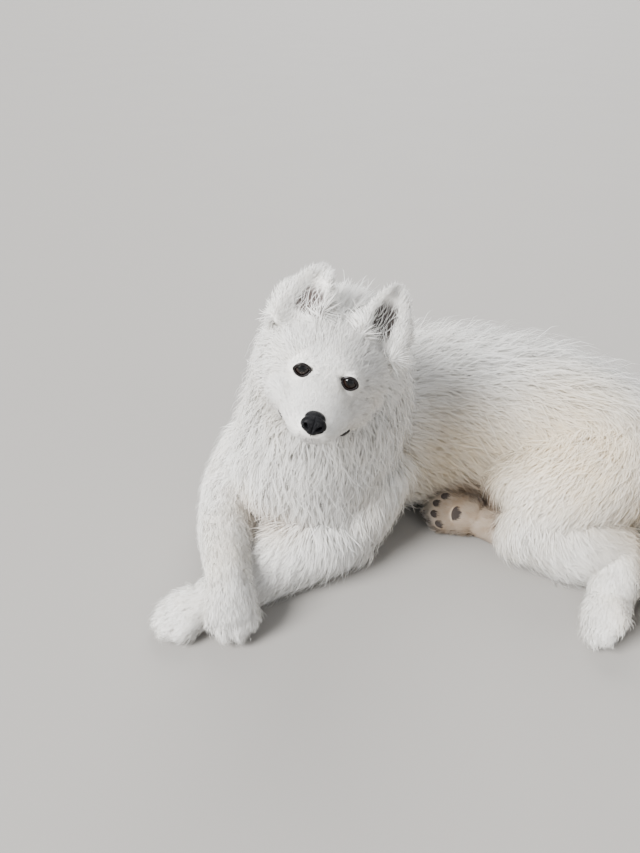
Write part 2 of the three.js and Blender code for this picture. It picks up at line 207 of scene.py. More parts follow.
# The head, in its own frame with the origin between the eyes' backs, -Y ahead and +Z to the crown.
# The skull and muzzle, the cheeks, the jowls that carry the mouth's corners, and one ear.
HEAD = (
    Matrix.Translation((-43, -176, 340))
    @ Matrix.Rotation(math.radians(-4.6), 4, "Z")
    @ Matrix.Rotation(math.radians(-12), 4, "X")
    @ Matrix.Rotation(math.radians(14.5), 4, "Y")
)
HEAD_LENGTHS = {
    "skull": (UP, [
        (0, 92, -2, 40, 34, 40, 20), (0, 70, -4, 52, 48, 50, 18), (0, 46, -7, 56, 52, 54, 14),
        (0, 22, -9, 56, 46, 52, 9), (0, 4, -11, 48, 36, 46, 6), (0, -14, -17, 36, 18, 38, 4),
        (0, -34, -24, 32, 15, 30, 3), (0, -54, -30, 29, 13, 25, 2.5), (0, -70, -33, 24, 12, 20, 2),
        (0, -78, -34, 16, 8, 14, 2),
    ]),
    "cheeks": (UP, [
        (0, 26, -26, 44, 30, 38, 16), (0, 54, -28, 52, 38, 44, 32), (0, 86, -24, 50, 42, 46, 34),
    ]),
}
JOWL = [
    (19, -54, -36, 10, 10, 10, 3), (25, -38, -36, 11.5, 12, 11.5, 3),
    (30, -20, -36, 13, 14, 13, 5), (36, 2, -34, 16, 17, 16, 9),
]
EAR = [
    (0, 0, -14, 32, 17, 17, 7), (0, 1, 8, 32, 16, 16, 8), (0, 2, 30, 27, 12, 12, 7),
    (0, 3, 50, 18, 8, 8, 6), (0, 4, 62, 8, 5, 5, 5),
]


def ear_matrix(side):
    sign = 1 if side == "left" else -1
    lean = 6 if side == "left" else 14
    return (
        HEAD
        @ Matrix.Translation((50 * sign, 42, 42))
        @ Matrix.Rotation(math.radians(18 * sign), 4, "Z")
        @ Matrix.Rotation(math.radians(-6), 4, "X")
        @ Matrix.Rotation(math.radians(lean), 4, "Y")
    )


# The paws: a palm and four toes each, in the paw's own frame with +Y ahead and +Z up. A paw is
# placed by its wrist, the way ahead and the way above.
PAWS = {
    "forepaw_left": ((-202, -239, 23), (-0.83, -0.56, -0.02), (0, 0, 1)),
    "forepaw_right": ((-166, -242, 62), (0.06, -0.78, -0.6), (0, -0.6, 0.78)),
    "hindpaw_left": ((334, -240, 30), (-0.5, -0.84, -0.1), (-0.75, 0.35, 0.5)),
    "hindpaw_right": ((182, -82, 26), (-0.9, 0.35, 0), (0.25, 0.65, -0.55)),
}
PALM = [
    (0, -8, 0, 20, 18, 20, 4), (0, 14, -1, 24, 18, 20, 4), (0, 34, -4, 27, 17, 16, 3),
    (0, 44, -6, 20, 12, 12, 2),
]
TOES = [(-21, 40, -7, 10), (-8, 50, -7, 11), (8, 50, -7, 11), (21, 40, -7, 10)]


def paw_matrix(name):
    at, ahead, above = (Vector(v) for v in PAWS[name])
    y = ahead.normalized()
    x = y.cross(above).normalized()
    return Matrix.Translation(at) @ Matrix((x, y, x.cross(y))).transposed().to_4x4()


# The skin: the body's lengths drawn at the root of the coat, 0.38 of its depth out from the solid
# body, and fused into one closed surface by a voxel remesh. The ears are drawn as thin folded cups.
SKIN_SHARE = 0.38
CAP_TURNS = (84, 62, 40, 20)


def through(points, t):
    """Places at t, from 0 to 1, on a smooth curve through the points."""
    p = np.asarray(points, float)
    p = np.vstack([2 * p[0] - p[1], p, 2 * p[-1] - p[-2]])
    at = np.clip(t, 0, 1) * (len(points) - 1)
    i = np.minimum(at.astype(int), len(points) - 2)
    f = (at - i)[:, None]
    a, b, c, d = (p[i + k] for k in range(4))
    ab, bc, cd = (
        np.maximum(np.linalg.norm(v - u, axis=1), 1e-4)[:, None] ** 0.5 for u, v in ((a, b), (b, c), (c, d))
    )
    leave = ((b - a) / ab - (c - a) / (ab + bc) + (c - b) / bc) * bc
    reach = ((c - b) / bc - (d - b) / (bc + cd) + (d - c) / cd) * bc
    return b + leave * f + (3 * (c - b) - 2 * leave - reach) * f**2 + (2 * (b - c) + leave + reach) * f**3


def stations(front, sections, count):
    """Places along a length with the way ahead, the sizes and the coat's depth at each."""
    s = np.asarray(sections, float)
    t = np.linspace(0, 1, count)
    line, sizes = through(s[:, :3], t), through(s[:, 3:6], t)
    coat = through(np.repeat(s[:, 6:7], 3, axis=1), t)[:, 0]
    ahead = np.gradient(line, axis=0)
    return line, ahead / np.linalg.norm(ahead, axis=1, keepdims=True), sizes, coat


def draw(bm, front, sections, matrix=Matrix(), share=SKIN_SHARE, around=28, shape=None, cap=0.5):
    """A closed length of skin: rings bridged one to the next, with rounded ends."""
    line, aheads, sizes, coats = stations(front, sections, 7 * (len(sections) - 1) + 1)
    rings = []
    for at, ahead, size, coat in zip(line, aheads, sizes, coats):
        rings.append((Vector(at), Vector(ahead), size + coat * share, 1.0))
    ends = []
    for k, sign in ((0, -1), (-1, 1)):
        at, ahead, size, _ = rings[k]
        turns = CAP_TURNS if k == 0 else CAP_TURNS[::-1]
        ends.append([
            (at + ahead * sign * math.sin(a) * cap * min(size[:2]), ahead, size, math.cos(a))
            for a in map(math.radians, turns)
        ])
    rings = ends[0] + rings + ends[1]
    loops = []
    for n, (at, ahead, size, scale) in enumerate(rings):
        side = Vector(front).cross(ahead).normalized()
        up = ahead.cross(side)
        wide, high = size[0] * scale, (size[1] + size[2]) / 2 * scale
        centre = at + up * (size[1] - size[2]) / 2
        basis = Matrix((side * wide, up * high, ahead)).transposed().to_4x4()
        place = Matrix.Scale(MM, 4) @ matrix @ Matrix.Translation(centre) @ basis
        last = n in (0, len(rings) - 1)
        ring = bmesh.ops.create_circle(bm, cap_ends=last, segments=around, radius=1)["verts"]
        for v in ring:
            if shape:
                v.co = shape(v.co)
            v.co = place @ v.co
        loops.append({e for v in ring for e in v.link_edges})
    for one, two in zip(loops, loops[1:]):
        bmesh.ops.bridge_loops(bm, edges=list(one | two))


def ball(bm, at, sizes, matrix=Matrix(), detail=3):
    place = Matrix.Scale(MM, 4) @ matrix @ Matrix.Translation(at) @ Matrix.Diagonal((*sizes, 1))
    bmesh.ops.create_icosphere(bm, subdivisions=detail, radius=1, matrix=place)


def folded(c):
    """A ring's front half pushed in, so that an ear is a cup open to the front."""
    return Vector((c.x, c.y if c.y < 0 else c.y * (1 - 1.25 * (1 - c.x * c.x)), 0))


bm = bmesh.new()
for front, sections in LENGTHS.values():
    draw(bm, front, sections)
for front, sections in HEAD_LENGTHS.values():
    draw(bm, front, sections, HEAD)
for sign in (1, -1):
    draw(bm, UP, [(sign * x, *rest) for x, *rest in JOWL], HEAD)
for side in ("left", "right"):
    draw(bm, FRONT, EAR, ear_matrix(side), share=-0.1, around=36, shape=folded)
for name in PAWS:
    draw(bm, UP, PALM, paw_matrix(name))
    for x, y, z, r in TOES:
        ball(bm, (x, y, z), (r * 0.95, r * 1.45, r * 1.05), paw_matrix(name))
raw = bpy.data.meshes.new("skin")
bm.to_mesh(raw)
bm.free()
skin = bpy.data.objects.new("skin", raw)
bpy.context.collection.objects.link(skin)
remesh = skin.modifiers.new("fuse", "REMESH")
remesh.mode, remesh.voxel_size = "VOXEL", 2.5 * MM
smooth = skin.modifiers.new("smooth", "SMOOTH")
smooth.factor, smooth.iterations = 0.5, 5
fused = bpy.data.meshes.new_from_object(skin.evaluated_get(bpy.context.evaluated_depsgraph_get()))
skin.modifiers.clear()
skin.data = fused
fused.name = "skin"

# The face's skin: almond openings with lids drawn over the eyeballs, and a shallow groove for the
# closed mouth from each corner, on the jowl, round to the front under the nose.
EYE = (27.5, -6, 2.5)  # the left one's middle
EYE_RADIUS = 10.2
OPENING = (9.3, 7.1)  # half its width and height
SLANT = 10  # degrees that the outer corner is lowered
TAPER, TAPER_POWER = 0.35, 2.2  # how the opening narrows to its corners
LID = 1.3  # the lid's thickness
MOUTH_LINE = [
    (40.5, -31, -42.5), (37, -38, -44), (32, -47, -46), (27, -56, -47), (20, -71, -48), (0, -83, -46),
]
GROOVE, GROOVE_WIDTH = 1.6, 3.0
LOWEST = 0.0012  # the skin stays this far above the floor, in metres
points = np.empty(len(fused.vertices) * 3, np.float32)
fused.vertices.foreach_get("co", points)
points = points.reshape(-1, 3).astype(float)
to_head = np.array(HEAD.inverted() @ Matrix.Scale(1000, 4))
from_head = np.array(Matrix.Scale(MM, 4) @ HEAD)
local = points @ to_head[:3, :3].T + to_head[:3, 3]


def almond(x, z, sign):
    """How far a place is from the middle of an eye's opening, 1 at its edge."""
    a = math.radians(SLANT * sign)
    u = (x * math.cos(a) - z * math.sin(a)) / OPENING[0]
    w = x * math.sin(a) + z * math.cos(a)
    high = OPENING[1] * (1 - TAPER * np.abs(u) ** TAPER_POWER).clip(0.3, 1)
    return np.hypot(u, w / high)


open_eye = np.full(len(local), 9.0)
for sign in (1, -1):
    x, y, z = local[:, 0] - EYE[0] * sign, local[:, 1] - EYE[1], local[:, 2] - EYE[2]
    away = np.hypot(x, z)
    front = (y < 4) & (away < 22)
    edge = almond(x, z, sign)
    open_eye[front] = np.minimum(open_eye[front], edge[front])
    lid = np.sqrt(np.maximum((EYE_RADIUS + LID) ** 2 - away**2, 0)) + 0.4
    onto = np.clip(1.9 - edge, 0, 1) * front
    onto = onto * onto * (3 - 2 * onto)
    target = np.where(edge < 1.0, -EYE_RADIUS + 4.5, -lid)
    local[:, 1] += np.where(front & (away < 20), onto * (target - y), 0)
mouth = through(MOUTH_LINE, np.linspace(0, 1, 60))
mouth = np.vstack([mouth, mouth * (-1, 1, 1)])
lips = np.full(len(local), 99.0)
near_face = np.flatnonzero((local[:, 1] < 0) & (local[:, 2] < -25) & (local[:, 2] > -70))
for k in near_face:
    lips[k] = np.linalg.norm(mouth - local[k], axis=1).min()
inward = -local * (1, 0, 0.6) - (0, 0, 20)
inward /= np.maximum(np.linalg.norm(inward, axis=1, keepdims=True), 1e-6)
local += inward * (GROOVE * np.clip(1 - lips / GROOVE_WIDTH, 0, 1) ** 1.5)[:, None]
moved = local @ from_head[:3, :3].T + from_head[:3, 3]
near_head = (np.abs(local - (0, 0, -10)) < (80, 100, 80)).all(axis=1)
points[near_head] = moved[near_head]
points[:, 2] = np.maximum(points[:, 2], LOWEST)
fused.vertices.foreach_set("co", points.astype(np.float32).ravel())
fused.update()
fused.shade_smooth()

# The skin's map: an unwrap of the skin's own shape, which each tuft of the coat takes the place of
# its root from.
bpy.context.view_layer.objects.active = skin
skin.select_set(True)
fused.uv_layers.new(name="OFBake")
bpy.ops.object.mode_set(mode="EDIT")
bpy.ops.mesh.select_all(action="SELECT")
bpy.ops.uv.smart_project(angle_limit=math.radians(66), island_margin=0.002)
bpy.ops.object.mode_set(mode="OBJECT")
skin.select_set(False)


# The skin's finish: bare skin with fine pores, in the colouring that it shares with the coat. That
# is white, with cream on the haunch, belly and tail, tan at the mouth's corners and a brown stain
# on the tucked hind foot, and painted shade between the forelegs, under the nose and between the
# toes. The ears' insides are bare and dark, their darkness partly painted shade.
def bump(height, shader, distance, strength=0.5):
    made = height.node("ShaderNodeBump", {"Height": height, "Distance": distance, "Strength": strength})
    made.into(shader.inputs["Normal"])


def piece(name, mesh, made, replaced=()):
    """A mesh as a finished piece of the model that rides on the one body."""
    thing = mesh if isinstance(mesh, bpy.types.Object) else bpy.data.objects.new(name, mesh)
    if not isinstance(mesh, bpy.types.Object):
        bpy.context.collection.objects.link(thing)
    thing.data.materials.clear()
    thing.data.materials.append(made)
    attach(thing, "root")
    if replaced:
        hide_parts(*replaced)
    return thing


def head_place(*p):
    """A place in the head's frame, in the body's."""
    return tuple(HEAD @ Vector(p))


EAR_INSIDE = {
    side: tuple(ear_matrix(side) @ Vector((x, -6, 22))) for side, x in (("left", -3), ("right", 5))
}
# Each patch is a centre, how far it is full and where it ends, its strength and its colour. Most are
# the coat's own colours; the ones between the forelegs and under the nose are painted shade.
PATCHES = (
    ((300, -95, 160), 20, 170, 0.75, (0.84, 0.72, 0.52)),  # haunch
    ((150, -40, 120), 20, 140, 0.72, (0.82, 0.70, 0.50)),  # belly
    ((452, -190, 100), 20, 120, 0.62, (0.80, 0.66, 0.46)),  # tail
    ((-150, -120, 80), 10, 60, 0.32, (0.66, 0.54, 0.40)),  # right foreleg
    ((330, -140, 60), 10, 80, 0.30, (0.70, 0.58, 0.42)),  # left shank
    # Painted shade between the forelegs, in tan, where they shadow the chest.
    ((-100, -150, 72), 8, 62, 0.50, (0.50, 0.39, 0.28)),  # between the forelegs
    ((176, -82, 24), 40, 78, 0.94, (0.40, 0.29, 0.19)),  # tucked foot
    ((240, -112, 30), 20, 52, 0.80, (0.30, 0.205, 0.13)),  # its heel
    (head_place(39, -31, -42), 4, 14, 0.30, (0.45, 0.38, 0.33)),  # mouth's corners
    (head_place(-39, -31, -42), 4, 14, 0.30, (0.45, 0.38, 0.33)),
    (head_place(17, -14, -8), 2, 9, 0.38, (0.36, 0.28, 0.22)),  # eyes' inner corners
    (head_place(-17, -14, -8), 2, 9, 0.38, (0.36, 0.28, 0.22)),
    # Painted shadow under the nose, soft grey on the chin.
    (head_place(0, -78, -42), 5, 15, 0.40, (0.40, 0.36, 0.34)),  # under the nose
)
MOUTH_CORNER = ((39.5, -32, -42.5), (36.5, -38, -44), (33, -44, -45.5))


def markings_and_painted_shade(place, bare):
    """The colour of the skin, when bare, or of the coat at a place, with painted shade in its hollows."""
    tone = place.noise(7.0, 3.0)
    fine = place.noise(700.0, 1.0)
    white = place.node("ShaderNodeValToRGB", {"Fac": fine})
    low, high = white.socket.node.color_ramp.elements
    low.position, high.position = 0.25, 0.8
    low.color = (0.80, 0.77, 0.72, 1) if bare else (0.91, 0.90, 0.87, 1)
    high.color = (0.86, 0.84, 0.80, 1) if bare else (0.98, 0.975, 0.96, 1)
    coat = white.mixed(tone.ramp(0.45, 0.75) * 0.32, (0.86, 0.78, 0.64))
    for centre, inner, outer, amount, colour in PATCHES:
        edge = place.noise(45.0) * 0.7 + 0.62
        coat = coat.mixed(place.near(centre, inner, outer) * edge * amount, colour)
    # Painted shade in the gaps between each paw's toes.
    for name in PAWS:
        for x in (-15, 0, 15):
            toe_gap_shade = tuple(paw_matrix(name) @ Vector((x, 54, -3)))
            coat = coat.mixed(place.near(toe_gap_shade, 2, 9) * 0.42, (0.52, 0.43, 0.34))
    if bare:
        for sign in (1, -1):
            for x, y, z in MOUTH_CORNER:
                dark = place.near(head_place(x * sign, y, z), 2.6, 4.4)
                coat = coat.mixed(dark, (0.02, 0.014, 0.013))
        # The ears' insides: dark bare skin with painted shade, darker in the left ear on the head's shaded
        # side.
        coat = coat.mixed(place.near(EAR_INSIDE["right"], 15, 30) * 0.96, (0.035, 0.018, 0.014))
        coat = coat.mixed(place.near(EAR_INSIDE["left"], 17, 32) * 0.97, (0.018, 0.010, 0.008))
    return coat


skin_made, shader, place = material("skin", (0.7, 0.64, 0.56), roughness=0.65)
markings_and_painted_shade(place, True).into(shader.inputs["Base Color"])
bump(place.noise(900.0), shader, 0.0006)
piece("skin", skin, skin_made, (
    "torso", "neck", "head", "tail", "foreleg_left", "foreleg_right", "hindleg_left", "hindleg_right",
    "forepaw_left", "forepaw_right", "hindpaw_left", "hindpaw_right", "ear_left", "ear_right",
))


# The lie and depth of the coat over the skin: each place takes them from the lengths of the body
# that it is nearest to, measured in each length's own thickness, and blends where lengths meet.
PARTS = ("head", "neck", "torso", "forelegs", "hindlegs", "tail", "paws", "ears")
ON_HEAD, ON_FORELEG, ON_HINDLEG, ON_PAW, ON_EAR = (
    PARTS.index(part) for part in ("head", "forelegs", "hindlegs", "paws", "ears")
)
PART_OF = {
    "neck": "neck", "torso": "torso", "tail": "tail", "foreleg": "forelegs",
    "thigh": "hindlegs", "shank": "hindlegs", "hindfoot": "hindlegs",
}
BLEND = 9  # how sharply one length gives way to the next
steps = []


def add_steps(number, front, sections, matrix=Matrix(), towards=1, thinner=1.0):
    """The steps along one length that the skin round it takes its coat from."""
    line, ahead, sizes, coat = stations(front, sections, 6 * (len(sections) - 1) + 1)
    m = np.array(matrix)
    line = line @ m[:3, :3].T + m[:3, 3]
    ahead = ahead @ m[:3, :3].T * towards
    radius = (sizes[:, 0] + (sizes[:, 1] + sizes[:, 2]) / 2) / 2 * thinner
    for row in zip(line, ahead, radius, coat):
        steps.append((*row[0], *row[1], row[2], row[3], number))


for name, (front, sections) in LENGTHS.items():
    add_steps(PARTS.index(PART_OF[name.split("_")[0]]), front, sections)
add_steps(ON_HEAD, *HEAD_LENGTHS["skull"], HEAD, towards=-1)
add_steps(ON_HEAD, *HEAD_LENGTHS["cheeks"], HEAD)
for side in ("left", "right"):
    add_steps(ON_EAR, FRONT, EAR[1:], ear_matrix(side), thinner=0.9)
for name in PAWS:
    add_steps(ON_PAW, UP, PALM, paw_matrix(name))
    for x, y, z, r in TOES:
        toe = [(x, y - 4, z, r, r, r, 4), (x, y + 10, z, r, r, r, 3)]
        add_steps(ON_PAW, UP, toe, paw_matrix(name))
steps = np.array(steps)

place_mm = points / MM
lie = np.empty((len(points), 3))
depth, girth, group, on_head = (np.empty(len(points)) for _ in range(4))
AT_ONCE = 20000
for start in range(0, len(points), AT_ONCE):
    some = slice(start, start + AT_ONCE)
    gap = np.sqrt(((place_mm[some, None, :] - steps[None, :, :3]) ** 2).sum(2)) / steps[:, 6]
    weight = np.exp(-BLEND * (gap - gap.min(1, keepdims=True)))
    weight /= weight.sum(1, keepdims=True)
    lie[some] = weight @ steps[:, 3:6]
    depth[some] = weight @ steps[:, 7]
    girth[some] = weight @ steps[:, 6]
    on_head[some] = weight @ (steps[:, 8] == ON_HEAD)
    group[some] = steps[gap.argmin(1), 8]
normals = np.empty(len(points) * 3, np.float32)
fused.vertices.foreach_get("normal", normals)
normals = normals.reshape(-1, 3).astype(float)

# The head's coat is close on the muzzle and round the eyes and grows longer from there to the
# crown, the cheeks and the throat, where it turns out and down into the ruff.
tall = np.where(local[:, 2] > -18, 62.0, 36.0)
mask_size = np.stack([np.full(len(local), 38.0), np.full(len(local), 50.0), tall], 1)
mask = np.linalg.norm((local - (0, -40, -18)) / mask_size, axis=1)
face = np.interp(mask, (0.9, 1.15, 1.5, 1.9, 2.4), (2.5, 6, 14, 24, 33))
crown = np.interp(local[:, 1], (20, 50), (14, 26))
brow = np.interp(local[:, 2], (-12, 28), (34, 0))
face = np.minimum(face, brow + np.interp(local[:, 2], (-12, 28), (0, 1)) * crown)
face = np.minimum(face, 2.0 + 0.35 * lips)
depth = depth * (1 - on_head) + face * on_head
turned = np.stack([np.sign(local[:, 0]) * 0.7, np.full(len(local), 0.1), np.full(len(local), -0.6)], 1)
cheek = np.clip((mask - 1.05) / 0.6, 0, 1) * on_head
cheek *= np.clip((np.abs(local[:, 0]) - 12) / 20, 0, 1)
cheek *= np.clip((14 - local[:, 2]) / 24, 0, 1) * np.clip(lips / 14, 0, 1)
lie += turned @ (from_head[:3, :3].T / MM) * cheek[:, None]

# The coat of the ears: short on their backs, with a fringe along the edges that is longest on the
# outer ones, and a few long hairs over the bare insides.
ear_line = np.array(EAR, float)
inner_ear = np.zeros(len(points), bool)
for side, sign in (("left", 1), ("right", -1)):
    back = np.array(ear_matrix(side).inverted())
    turn = np.array(ear_matrix(side))[:3, :3]
    on = place_mm @ back[:3, :3].T + back[:3, 3]
    wide = np.interp(on[:, 2], ear_line[:, 2], ear_line[:, 3])
    far = np.linalg.norm(on - (0, 0, 2), axis=1)
    near_ear = (far < 90) & (np.abs(on[:, 0]) < 40) & (np.abs(on[:, 1]) < 34)
    base = near_ear & (group != ON_EAR) & (on[:, 2] > -30)
    depth[base] = np.minimum(depth[base], np.interp(far[base], (20, 46), (11, 34)))
    here = near_ear & (group == ON_EAR)
    depth[here] = np.minimum(depth[here], 6.5)
    edge = here * np.clip((np.abs(on[:, 0]) / wide - 0.66) / 0.24, 0, 1)
    edge *= np.clip((on[:, 2] + 16) / 12, 0, 1)
    outer = edge * (np.sign(on[:, 0]) == sign) * np.clip((34 - on[:, 2]) / 24, 0, 1)
    depth = np.maximum(depth, 5 * edge + 10 * outer)
    sideways = np.sign(on[:, 0]) * (0.25 * edge + 0.6 * outer)
    lie += (turn @ np.array([1.0, 0, 0])) * sideways[:, None]
    facing = normals @ turn[:, 1]
    middle = np.abs(on[:, 0] * sign + 0.16 * wide) < 0.5 * wide
    inside = near_ear & (facing < -0.1) & middle & (on[:, 1] < 6)
    inner_ear |= inside & (on[:, 2] > (-7 if side == "left" else 2)) & (on[:, 2] < 50)

# The last turns of the lie: hair hangs a little, more so where it is long, sweeps down and forward
# to the camera's side on the lower legs, turns away from the eyes and lies along the skin.
lie[:, 2] -= 0.35 * np.clip(depth / 40, 0, 1)
on_leg = (group == ON_FORELEG) | (group == ON_HINDLEG)
low_leg = on_leg * np.clip(1 - points[:, 2] / 0.07, 0, 1)
lie += np.array([0.45, -0.55, -0.35]) * low_leg[:, None]
depth += 12 * low_leg * np.clip(depth / 16, 0, 1)
for sign in (1, -1):
    away = local - (EYE[0] * sign, EYE[1] - 8, EYE[2])
    away = away @ from_head[:3, :3].T / MM
    far = np.linalg.norm(away, axis=1, keepdims=True)
    lie += away / np.maximum(far, 1) * 1.3 * np.clip(1.6 - far / 16, 0, 1)
lie -= normals * (lie * normals).sum(1, keepdims=True)
lie /= np.maximum(np.linalg.norm(lie, axis=1, keepdims=True), 1e-6)

# Where the coat doesn't grow: the eyes' openings, under the nose pad, the lips, the flats that the
# puppy rests on and the pads of the paws. It is short round the eyes and the pads.
grows = np.ones(len(points))
grows[open_eye < 1.12] = 0
nose_gap = np.linalg.norm((local - (0, -80, -28)) / (15, 11, 11.5), axis=1)
grows[nose_gap < 1] = 0
grows[lips < np.interp(np.abs(local[:, 0]), (22, 32), (0.9, 3.0))] = 0
grows[(points[:, 2] < 0.002) & (normals[:, 2] < -0.6)] = 0
short = np.minimum(depth, 0.8 + 1.6 * np.maximum(open_eye - 1, 0))
depth = np.where(open_eye < 2.4, short, depth)
depth = np.where(group == ON_PAW, np.maximum(depth, 10), depth)
PADS = [(x, y + 1.5, z - 0.72 * r, 6.4, 8.8, 5.5) for x, y, z, r in TOES] + [
    (0, 21, -18.5, 12.5, 9, 6), (0, 15, -18.3, 9, 7, 5.5),
]
for name in PAWS:
    back = np.array(paw_matrix(name).inverted())
    on = place_mm @ back[:3, :3].T + back[:3, 3]
    under = (group == ON_PAW) & (normals @ np.array(paw_matrix(name))[:3, 2] < -0.5)
    depth[under] = 8
    for pad in PADS:
        far = np.linalg.norm((on - pad[:3]) / pad[3:], axis=1)
        short = np.minimum(depth, 2.5 + 4 * np.maximum(far - 0.9, 0))
        depth = np.where(under & (far < 1.9), short, depth)
        grows[far < 0.95] = 0
grows[inner_ear] = 0.04


# The coat: thin flat tufts, each a tapered ribbon of three lengths that rises from its root, bends
# over along the lie and leans to the tip of its clump. The roots are spread over the skin's
# triangles, closer where the coat is short.
fused.calc_loop_triangles()
corners = np.empty(len(fused.loop_triangles) * 3, np.int32)
fused.loop_triangles.foreach_get("vertices", corners)
corners = corners.reshape(-1, 3)
loops = np.empty(len(corners) * 3, np.int32)
fused.loop_triangles.foreach_get("loops", loops)
loops = loops.reshape(-1, 3)
skin_map = np.empty(len(fused.loops) * 2, np.float32)
fused.uv_layers["OFBake"].data.foreach_get("uv", skin_map)
skin_map = skin_map.reshape(-1, 2)

rng = np.random.default_rng(11)
TUFTS = 285000
TURN_SPREAD = 0.34  # radians that a tuft turns from the lie
WILD_SHARE = 0.1  # the stray hairs, which stand out of the coat
TUFTS_A_CLUMP = 15
FLATTEST = 0.0006  # the least height of a hair above the floor
abc = points[corners]
area = np.linalg.norm(np.cross(abc[:, 1] - abc[:, 0], abc[:, 2] - abc[:, 0]), axis=1)
thick = depth[corners].mean(1)
density = area * grows[corners].min(1) / (1 + thick / 15)
chosen = rng.choice(len(corners), TUFTS, p=density / density.sum())
u, v = rng.random((2, TUFTS, 1))
flip = u + v > 1
u, v = np.where(flip, 1 - u, u), np.where(flip, 1 - v, v)
share = np.hstack([1 - u - v, u, v])


def at_root(values):
    """The skin's values at the roots of the tufts."""
    return (values[corners[chosen]] * (share[:, :, None] if values.ndim > 1 else share)).sum(1)


def unit(vectors):
    return vectors / np.maximum(np.linalg.norm(vectors, axis=1, keepdims=True), 1e-9)


root = at_root(points)
out = unit(at_root(normals))
along = at_root(lie)
along = unit(along - out * (along * out).sum(1, keepdims=True))
coat = at_root(depth) * MM
around = np.maximum(at_root(girth) * MM, 0.012)
kind = group[corners[chosen, 0]]
in_ear = inner_ear[corners[chosen]].any(1)
root_map = (skin_map[loops[chosen]] * share[:, :, None]).sum(1)

turn = rng.normal(0, TURN_SPREAD, (TUFTS, 1))
across = np.cross(out, along)
along = unit(along * np.cos(turn) + across * np.sin(turn))
across = np.cross(out, along)
length = coat * 1.15 + np.clip(coat * 1.2, 0.0012, 0.0040)
length *= rng.uniform(0.6, 1.2, TUFTS)
rise = coat * (1 - SKIN_SHARE) * rng.uniform(0.55, 1.08, TUFTS) + 0.0004
wild = rng.random(TUFTS) < WILD_SHARE
rise[wild] *= 1.25 + 0.7 * np.clip(out[wild, 2] - 0.5, 0, 1)
length[wild] *= 1.08
paw = kind == ON_PAW
rise[paw] *= rng.uniform(0.8, 1.9, paw.sum())
length[in_ear] = 0.020
rise[in_ear] = 0.008
width = np.interp(coat, (0.002, 0.010, 0.030, 0.055), (0.00055, 0.0009, 0.0014, 0.0019))
width *= rng.uniform(0.7, 1.3, TUFTS)
width[wild] *= 0.65


def on_tuft(s):
    """Places at a share s along every tuft."""
    ahead = (length * s**1.15)[:, None]
    lift = (rise * (1 - (1 - s) ** 1.9))[:, None]
    droop = ((length * s) ** 2 / (2 * (around + rise)) * np.where(paw, 0.3, 0.65))[:, None]
    return root + along * ahead + out * (lift - droop)


# Clumps: the coat parts into locks, because each tuft's outer half leans towards the tip of the
# nearest of some chosen tufts. The short coat doesn't clump, nor do the stray hairs.
leaders = rng.choice(TUFTS, TUFTS // TUFTS_A_CLUMP, replace=False)
nearest = kdtree.KDTree(len(leaders))
for n, k in enumerate(leaders):
    nearest.insert(root[k], n)
nearest.balance()
leader = leaders[np.fromiter((nearest.find(p)[1] for p in root), int, TUFTS)]
pull = np.interp(coat, (0.003, 0.012, 0.03), (0, 0.55, 1))[:, None]
pull = pull * rng.uniform(0.1, 0.55, (TUFTS, 1))
pull[wild] = 0
pull[np.linalg.norm(root[leader] - root, axis=1) > 0.014] *= 0.3
RINGS = ((0.0, 0.8), (0.38, 1.0), (0.74, 0.62), (1.0, 0.0))  # place and width along a tuft
rings = []
tip_of_clump = on_tuft(1.0)[leader] - root[leader]
for s, share_of_width in RINGS:
    at = on_tuft(s)
    clumped = root[leader] + tip_of_clump * s
    at += (clumped - at) * pull * s**1.6
    rings.append((at, share_of_width))
spin = rng.uniform(-0.9, 0.9, (TUFTS, 1))
flat = out * np.sin(spin) - across * np.cos(spin)
rings[0][0][:] -= out * 0.0006
verts = []
for at, share_of_width in rings[:3]:
    half = flat * (width * share_of_width / 2)[:, None]
    verts += [at - half, at + half]
verts.append(rings[3][0])
verts = np.stack(verts, 1)
verts[:, :, 2] = np.maximum(verts[:, :, 2], FLATTEST + 0.0012 * rng.random((TUFTS, 1)))
lean = unit(out + along * 0.12 + np.cross(flat, along) * 0.2)
# The tone of each tuft: random from tuft to tuft and clump to clump, and darkened towards the root as
# painted shade deep in the coat.
shaded = rng.random((TUFTS, 1)) * 0.35 + rng.random((TUFTS, 1))[leader] * 0.65
shaded = shaded * np.interp(coat, (0.002, 0.005, 0.014, 0.03), (0.3, 0.75, 0.95, 0.62))[:, None]
tone = np.clip(1 - shaded * np.array([1, 1, 0.9, 0.9, 0.7, 0.7, 0.6]), 0, 1)

TUFT_POINTS = 7
FACES = np.array([[0, 1, 3], [0, 3, 2], [2, 3, 5], [2, 5, 4], [4, 5, 6]])
ON_MAP = 0.0015 * np.array([
    [-0.5, -1], [0.5, -1], [-0.5, -0.3], [0.5, -0.3], [-0.4, 0.4], [0.4, 0.4], [0, 1],
])
MOST = 38000  # tufts in one piece


